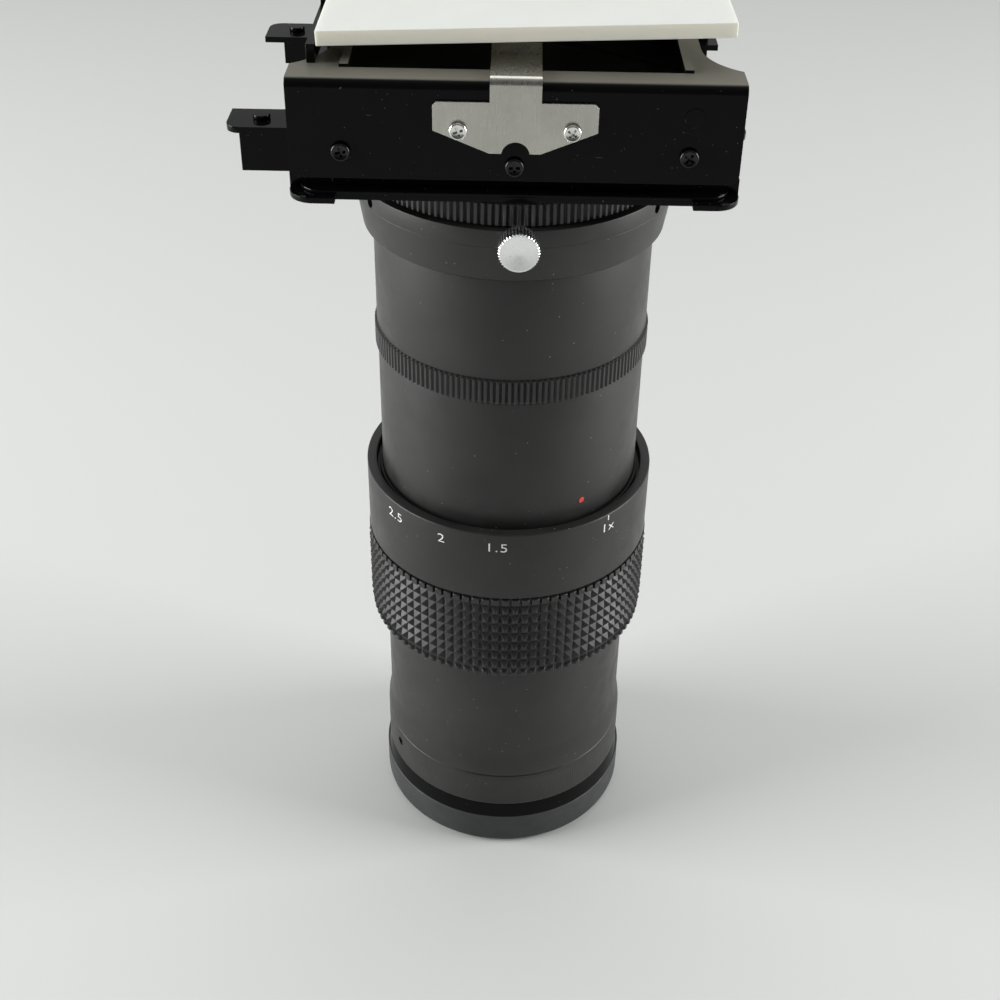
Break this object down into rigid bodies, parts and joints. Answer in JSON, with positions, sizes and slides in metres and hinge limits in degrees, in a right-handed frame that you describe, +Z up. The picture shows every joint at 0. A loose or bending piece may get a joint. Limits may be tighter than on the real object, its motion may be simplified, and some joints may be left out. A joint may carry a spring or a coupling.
{
  "type": "slide duplicator",
  "caption": "Zoom slide duplicator: telescoping black barrel with a knurled zoom ring, a shifting slide stage with spring clips and an opal flap.",
  "frame": {"origin": "centre of the rear cap's underside", "axes": "+Z up the barrel to the slide stage, -Y the front with the thumbscrew, +X to the right of the front"},
  "size_m": [0.0798, 0.0616, 0.175],
  "materials": {
    "cap_plastic": "matt moulded, finely grained",
    "gloss_black": "glossy black enamel",
    "satin_black": "satin black anodised",
    "bearing_black": "matt black",
    "dark_screw": "blackened",
    "grip_rubber": "matt moulded rubber",
    "red_paint": "red index paint",
    "bright_aluminium": "bright turned and knurled",
    "lens_glass": "coated glass",
    "black_sheet": "glossy black enamelled sheet",
    "black_screw": "black pan-head screws",
    "spring_steel": "satin nickelled spring steel",
    "chrome_screw": "bright plated screws",
    "opal_plastic": "opal white acrylic"
  },
  "bodies": {
    "barrel": {"mount_ring": "gloss_black", "adapter_ring": "satin_black", "adapter_set_screws": "dark_screw", "rear_tube": "satin_black", "bearing_ring": "bearing_black"},
    "cap": {"rear_cap": "cap_plastic"},
    "zoom": {"zoom_ring": "satin_black", "grip_ring": "grip_rubber"},
    "front_barrel": {"front_tube": "satin_black", "index_dot": "red_paint", "extension_tube": "satin_black", "stage_collar": "satin_black", "collar_set_screws": "dark_screw"},
    "lens": {"lens_cell": "satin_black", "front_element": "lens_glass", "rear_element": "lens_glass", "retaining_rings": "satin_black", "aperture_stop": "bearing_black"},
    "lock": {"lock_ring": "satin_black"},
    "thumb": {"thumbscrew": "bright_aluminium"},
    "stage": {"rotation_ring": "satin_black", "ring_screws": "dark_screw", "stage_tray": "black_sheet"},
    "shift": {"shift_plate": "black_sheet", "guide_bars": "black_sheet", "stage_bracket": "black_sheet", "bracket_screws": "black_screw", "flange_plug": "black_sheet", "slide_clip_front": "spring_steel", "slide_clip_rear": "spring_steel", "clip_screws": "chrome_screw", "hinge_rail": "black_sheet", "hinge_pin": "spring_steel"},
    "carriage": {"carriage": "black_sheet", "carriage_studs": "black_sheet"},
    "flap": {"opal_flap": "opal_plastic"}
  },
  "joints": [
    {"name": "cap_slide", "type": "slide", "parent": "barrel", "child": "cap", "axis": [0, 0, -1], "range_m": [0, 0.02]},
    {"name": "zoom_turn", "type": "hinge", "parent": "barrel", "child": "zoom", "pos_m": [0, 0, 0.067], "axis": [0, 0, 1], "range_deg": [-9.5, 82.8]},
    {"name": "front_tube_slide", "type": "slide", "parent": "barrel", "child": "front_barrel", "axis": [0, 0, 1], "range_m": [-0.0027, 0.022]},
    {"name": "lens_slide", "type": "slide", "parent": "barrel", "child": "lens", "axis": [0, 0, 1], "range_m": [-0.0031, 0.0253]},
    {"name": "lock_turn", "type": "hinge", "parent": "front_barrel", "child": "lock", "pos_m": [0, 0, 0.1127], "axis": [0, 0, 1], "range_deg": [0, 60]},
    {"name": "thumbscrew_turn", "type": "hinge", "parent": "front_barrel", "child": "thumb", "pos_m": [0.0008, -0.02699, 0.1431], "axis": [0.0297, -0.9996, 0], "range_deg": [0, 360]},
    {"name": "stage_turn", "type": "hinge", "parent": "front_barrel", "child": "stage", "pos_m": [0, 0, 0.142], "axis": [0, 0, 1], "continuous": true},
    {"name": "shift_slide", "type": "slide", "parent": "stage", "child": "shift", "axis": [0, 1, 0], "range_m": [-0.006, 0.006]},
    {"name": "carriage_slide", "type": "slide", "parent": "shift", "child": "carriage", "axis": [1, 0, 0], "range_m": [-0.006, 0.0065]},
    {"name": "flap_hinge", "type": "hinge", "parent": "shift", "child": "flap", "pos_m": [-0.03135, 0.012, 0.17142], "axis": [0, -1, 0], "range_deg": [0, 100]}
  ],
  "couplings": [
    {"joint": "front_tube_slide", "follows": "zoom_turn", "m_per_rad": 0.01508},
    {"joint": "lens_slide", "follows": "zoom_turn", "m_per_rad": 0.017372}
  ]
}
